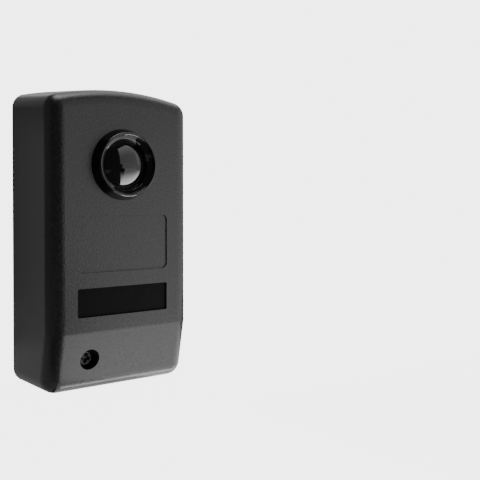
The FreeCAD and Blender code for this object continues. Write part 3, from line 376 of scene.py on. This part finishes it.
def make_room_lights():
    """The lights of the whole part. Returns the two that the lens has its own lights in place of."""
    softbox("upper_softbox", place=(0.33, -0.536, 0.39), turn=UPPER_TURN, size=(0.7, 0.66), glow=0.92)
    lower = softbox("lower_softbox", (0.3886, -0.4887, 0.0025), LOWER_TURN, LOWER_SIZE, glow=1.8)
    far = floor_light("far_reflector", FAR_MIDDLE, FAR_SIZE, glow=1.85, turn=LOWER_TURN)
    floor_light("near_reflector", middle=(0.0282, -0.0539), size=(0.09, 0.06), glow=2.8, turn=12)
    floor_light("contact_paper", middle=(0.003, -0.0285), size=(0.054, 0.009), glow=1.4)
    floor_light("bright_strip", middle=(0.003, -0.0283), size=(0.05, 0.001), glow=5.5, gap=BRIGHT_STRIP_GAP)
    softbox("right_card", place=(0.5, -0.1, 0.15), turn=90, size=(0.4, 0.4), glow=1.0)
    softbox("right_ceiling", place=(0.35, 0.05, 0.55), turn=90, size=(0.4, 0.4), glow=1.5, tilt=35)
    softbox("back_wall", place=(0.2, 0.5, 0.2), turn=158, size=(0.7, 0.42), glow=0.25)
    softbox("back_light", place=(0.24, 0.38, 0.46), turn=148, size=(0.6, 0.45), glow=1.1, tilt=50)
    softbox("left_back_wall", place=(-0.2, 0.5, 0.33), turn=200, size=(0.4, 0.4), glow=0.2)
    softbox("rear_card", place=(-0.11, 0.1, -0.005), turn=200, size=(0.05, 0.12), glow=0.42)
    floor_light("side_reflector", middle=(-0.055, 0.015), size=(0.06, 0.1), glow=0.34)
    floor_light("rear_floor", middle=(0.15, 0.3), size=(0.4, 0.4), glow=1.5)
    floor_light("left_floor", middle=(-0.25, -0.11), size=(0.3, 0.38), glow=0.24)
    softbox("left_card", place=(-0.35, 0.05, 0.1), turn=-90, size=(0.3, 0.25), glow=0.16)
    return lower, far


def make_lens_lights(ring, lens, not_in_lens):
    """Lights of the lens alone, in place of those it leaves out, and a strip of light for the ring alone."""
    lens_lights = [
        glow_card(
            "lens_card", corner=(0.019, -0.075, FLOOR + LENS_CARD_GAP), size=(0.5, 0.35), glow=13, power=5,
        ),
        glow_card(
            "lens_top_card", corner=(0.0585, -0.812, 0.778), size=(0.758, 0.478), glow=1.3, power=1,
            tilt=UPRIGHT, turn=UPPER_TURN,
        ),
        softbox("lens_horizon", (0.3892, -0.4906, 0.0025), LOWER_TURN, LOWER_SIZE, glow=1.05),
        floor_light("lens_floor", FAR_MIDDLE, FAR_SIZE, glow=1.5, turn=LOWER_TURN, gap=LENS_FLOOR_GAP),
    ]
    for light in lens_lights:
        link_light(light, lens, "INCLUDE")
    strip = floor_light("ring_strip", middle=(0.0425, -0.051), size=(0.06, 0.03), glow=14, gap=RING_STRIP_GAP)
    link_light(strip, ring, "INCLUDE")
    for light in not_in_lens:
        link_light(light, lens, "EXCLUDE")


# Turned pieces

TURN_STEPS = 144
CORNER_STEPS = 6
MERGE_DISTANCE = 1e-7
SHARP_ANGLE = 35


def rounded(corners):
    """A line through (x, y, radius) corners, each rounded to its radius."""
    line = []
    for number, (x, y, radius) in enumerate(corners):
        here = Vector((x, y))
        if radius == 0:
            line.append(here)
            continue
        before = (Vector(corners[number - 1][:2]) - here).normalized()
        after = (Vector(corners[(number + 1) % len(corners)][:2]) - here).normalized()
        half = before.angle(after) / 2
        centre = here + (before + after).normalized() * radius / math.sin(half)
        start = here + before * radius / math.tan(half) - centre
        turn = start.angle_signed(here + after * radius / math.tan(half) - centre)
        for step in range(CORNER_STEPS + 1):
            angle = -turn * step / CORNER_STEPS
            line.append(centre + Vector((
                start.x * math.cos(angle) - start.y * math.sin(angle),
                start.x * math.sin(angle) + start.y * math.cos(angle),
            )))
    return line


def lathe(name, line, node, plane, closed):
    """Turns a line of (radius, height) points about the node's own axis along Y, in front of a plane."""
    low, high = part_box(node)
    axis_x = (low[0] + high[0]) / 2
    axis_z = (low[2] + high[2]) / 2
    shape = bmesh.new()
    rings = []
    for step in range(TURN_STEPS):
        angle = 2 * math.pi * step / TURN_STEPS
        ring = []
        for radius, height in line:
            x = axis_x + radius * MM * math.cos(angle)
            z = axis_z + radius * MM * math.sin(angle)
            ring.append(shape.verts.new((x, plane - height * MM, z)))
        rings.append(ring)
    spans = len(line) if closed else len(line) - 1
    for number, ring in enumerate(rings):
        following = rings[(number + 1) % TURN_STEPS]
        for point in range(spans):
            onward = (point + 1) % len(line)
            shape.faces.new((ring[point], ring[onward], following[onward], following[point]))
    bmesh.ops.remove_doubles(shape, verts=shape.verts, dist=MERGE_DISTANCE)
    bmesh.ops.dissolve_degenerate(shape, dist=MERGE_DISTANCE, edges=shape.edges)
    bmesh.ops.recalc_face_normals(shape, faces=shape.faces)
    return piece_from(name, shape)


def piece_from(name, shape):
    mesh = bpy.data.meshes.new(name)
    shape.to_mesh(mesh)
    shape.free()
    mesh.shade_smooth()
    mesh.set_sharp_from_angle(angle=math.radians(SHARP_ANGLE))
    piece = bpy.data.objects.new(name, mesh)
    bpy.context.collection.objects.link(piece)
    return piece


def place_piece(piece, node, slot, materials):
    """Puts a detailed piece in the place of a node."""
    piece.data.materials.clear()
    piece.data.materials.append(materials[slot])
    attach(piece, "root")
    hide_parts(node)


# Lens and its ring, with heights in front of the face of the case

RING_HEIGHT = 4.1
RING_RIM = 11.4
RING_TUBE = 10.9
RING_TUBE_LENGTH = 7.0
RING_LIP = 0.45
RING_LEDGE = 10.3
RING_LEDGE_DROP = 1.15
RING_LEDGE_FALL = 0.6
RING_THROAT = 9.3
APERTURE = 8.4
APERTURE_HEIGHT = 1.2
APERTURE_ROUND = 0.1
THROAT_ROUND = 0.3
LEDGE_ROUND = 0.12
LIP_ROUND = 0.52
BASE_ROUND = 0.05
TUBE_ROUND = 0.2
SHOULDER = 0.8
LENS_CURVE = 15.0
LENS_STEPS = 40
LENS_FLANGE = 9.6
LENS_FLANGE_HEIGHT = -0.1
LENS_BACK_HEIGHT = -1.8
FIT = 0.1


def make_lens_ring(materials):
    low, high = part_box("lens_ring")
    face = low[1] + RING_HEIGHT * MM
    base = (high[0] - low[0]) / 2 / MM
    bore = LENS_FLANGE + FIT
    ledge = RING_HEIGHT - RING_LEDGE_DROP
    corners = [
        (APERTURE, APERTURE_HEIGHT - SHOULDER, 0),
        (APERTURE, APERTURE_HEIGHT, APERTURE_ROUND),
        (RING_THROAT, ledge - RING_LEDGE_FALL, THROAT_ROUND),
        (RING_LEDGE, ledge, LEDGE_ROUND),
        (RING_RIM - 2 * RING_LIP, RING_HEIGHT, LIP_ROUND),
        (RING_RIM, RING_HEIGHT, LIP_ROUND),
        (base, 0, BASE_ROUND),
        (RING_TUBE, 0, 0),
        (RING_TUBE, -RING_TUBE_LENGTH, TUBE_ROUND),
        (bore, -RING_TUBE_LENGTH, TUBE_ROUND),
        (bore, APERTURE_HEIGHT - SHOULDER, 0),
    ]
    ring = lathe("polished_ring", rounded(corners), "lens_ring", face, True)
    ring.modifiers.new("even_shading", "WEIGHTED_NORMAL")
    place_piece(ring, "lens_ring", "ring_plastic", materials)
    return ring


def make_lens(materials):
    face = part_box("lens_ring")[0][1] + RING_HEIGHT * MM
    edge = APERTURE - FIT
    edge_height = APERTURE_HEIGHT - FIT
    centre = edge_height - math.sqrt(LENS_CURVE ** 2 - edge ** 2)
    reach = math.asin(edge / LENS_CURVE)
    line = []
    for step in range(LENS_STEPS + 1):
        angle = reach * step / LENS_STEPS
        line.append((LENS_CURVE * math.sin(angle), centre + LENS_CURVE * math.cos(angle)))
    line += [
        (edge, LENS_FLANGE_HEIGHT),
        (LENS_FLANGE, LENS_FLANGE_HEIGHT),
        (LENS_FLANGE, LENS_BACK_HEIGHT),
        (0, LENS_BACK_HEIGHT),
    ]
    lens = lathe("domed_lens", line, "lens", face, False)
    place_piece(lens, "lens", "lens_filter", materials)
    return lens


# Cover screw, with heights above the seat of its head, and the cross as (reach, half width) of its arms

SCREW_HEAD = 2.8
SCREW_HEAD_HEIGHT = 2.2
SCREW_CROWN = 0.12
SCREW_HEAD_ROUND = 0.7
SCREW_SEAT_ROUND = 0.1
SCREW_SHANK = 1.45
SCREW_TIP = 0.8
SCREW_TIP_ROUND = 0.2
CROSS_TURN = -12
CROSS_DEPTH = 1.4
CROSS_MOUTH = (1.75, 0.5)
CROSS_FLOOR = (1.3, 0.42)


def cross_ring(shape, centre, reach, blade):
    """The corners of a turned cross that stands across the Y axis."""
    corners = []
    for quarter in range(4):
        for along, across in ((reach, -blade), (reach, blade), (blade, blade)):
            angle = math.radians(90 * quarter + CROSS_TURN) + math.atan2(across, along)
            radius = math.hypot(along, across) * MM
            x = centre.x + radius * math.cos(angle)
            z = centre.z + radius * math.sin(angle)
            corners.append(shape.verts.new((x, centre.y, z)))
    return corners


def make_cross(centre):
    """A solid cross to cut the driver recess with. It narrows inwards from in front of the head."""
    shape = bmesh.new()
    slope = [(mouth - floor) / CROSS_DEPTH for mouth, floor in zip(CROSS_MOUTH, CROSS_FLOOR)]
    rings = []
    for depth in (-CROSS_DEPTH, CROSS_DEPTH):
        reach = CROSS_MOUTH[0] - slope[0] * depth
        blade = CROSS_MOUTH[1] - slope[1] * depth
        level = centre + Vector((0, depth * MM, 0))
        rings.append(cross_ring(shape, level, reach, blade))
    outer, inner = rings
    shape.faces.new(outer)
    shape.faces.new(reversed(inner))
    for number in range(len(outer)):
        onward = (number + 1) % len(outer)
        shape.faces.new((outer[number], inner[number], inner[onward], outer[onward]))
    bmesh.ops.recalc_face_normals(shape, faces=shape.faces)
    return piece_from("cross_cutter", shape)


def cut_piece(piece, cutter):
    """Takes the cutter's shape out of the piece for good, and removes the cutter."""
    piece.modifiers.new("cut", "BOOLEAN").object = cutter
    seen = bpy.context.evaluated_depsgraph_get()
    mesh = bpy.data.meshes.new_from_object(piece.evaluated_get(seen))
    piece.modifiers.clear()
    piece.data = mesh
    bpy.data.objects.remove(cutter)


def make_cover_screw(materials):
    low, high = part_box("cover_screw")
    seat = low[1] + SCREW_HEAD_HEIGHT * MM
    end = (seat - high[1]) / MM
    corners = [
        (0, SCREW_HEAD_HEIGHT, 0),
        (SCREW_HEAD, SCREW_HEAD_HEIGHT - SCREW_CROWN, SCREW_HEAD_ROUND),
        (SCREW_HEAD, 0, SCREW_SEAT_ROUND),
        (SCREW_SHANK, 0, SCREW_SEAT_ROUND),
        (SCREW_SHANK, end + SCREW_TIP, SCREW_TIP_ROUND),
        (0, end, 0),
    ]
    screw = lathe("pan_head_screw", rounded(corners), "cover_screw", seat, False)
    front = Vector(((low[0] + high[0]) / 2, low[1], (low[2] + high[2]) / 2))
    cut_piece(screw, make_cross(front))
    place_piece(screw, "cover_screw", "screw_steel", materials)


make_camera()
make_world()
make_floor()
not_in_lens = make_room_lights()
materials = {name: surface(name, **finish) for name, finish in FINISHES.items()}
dress_nodes(materials)
ring = make_lens_ring(materials)
lens = make_lens(materials)
make_cover_screw(materials)
make_lens_lights(ring, lens, not_in_lens)
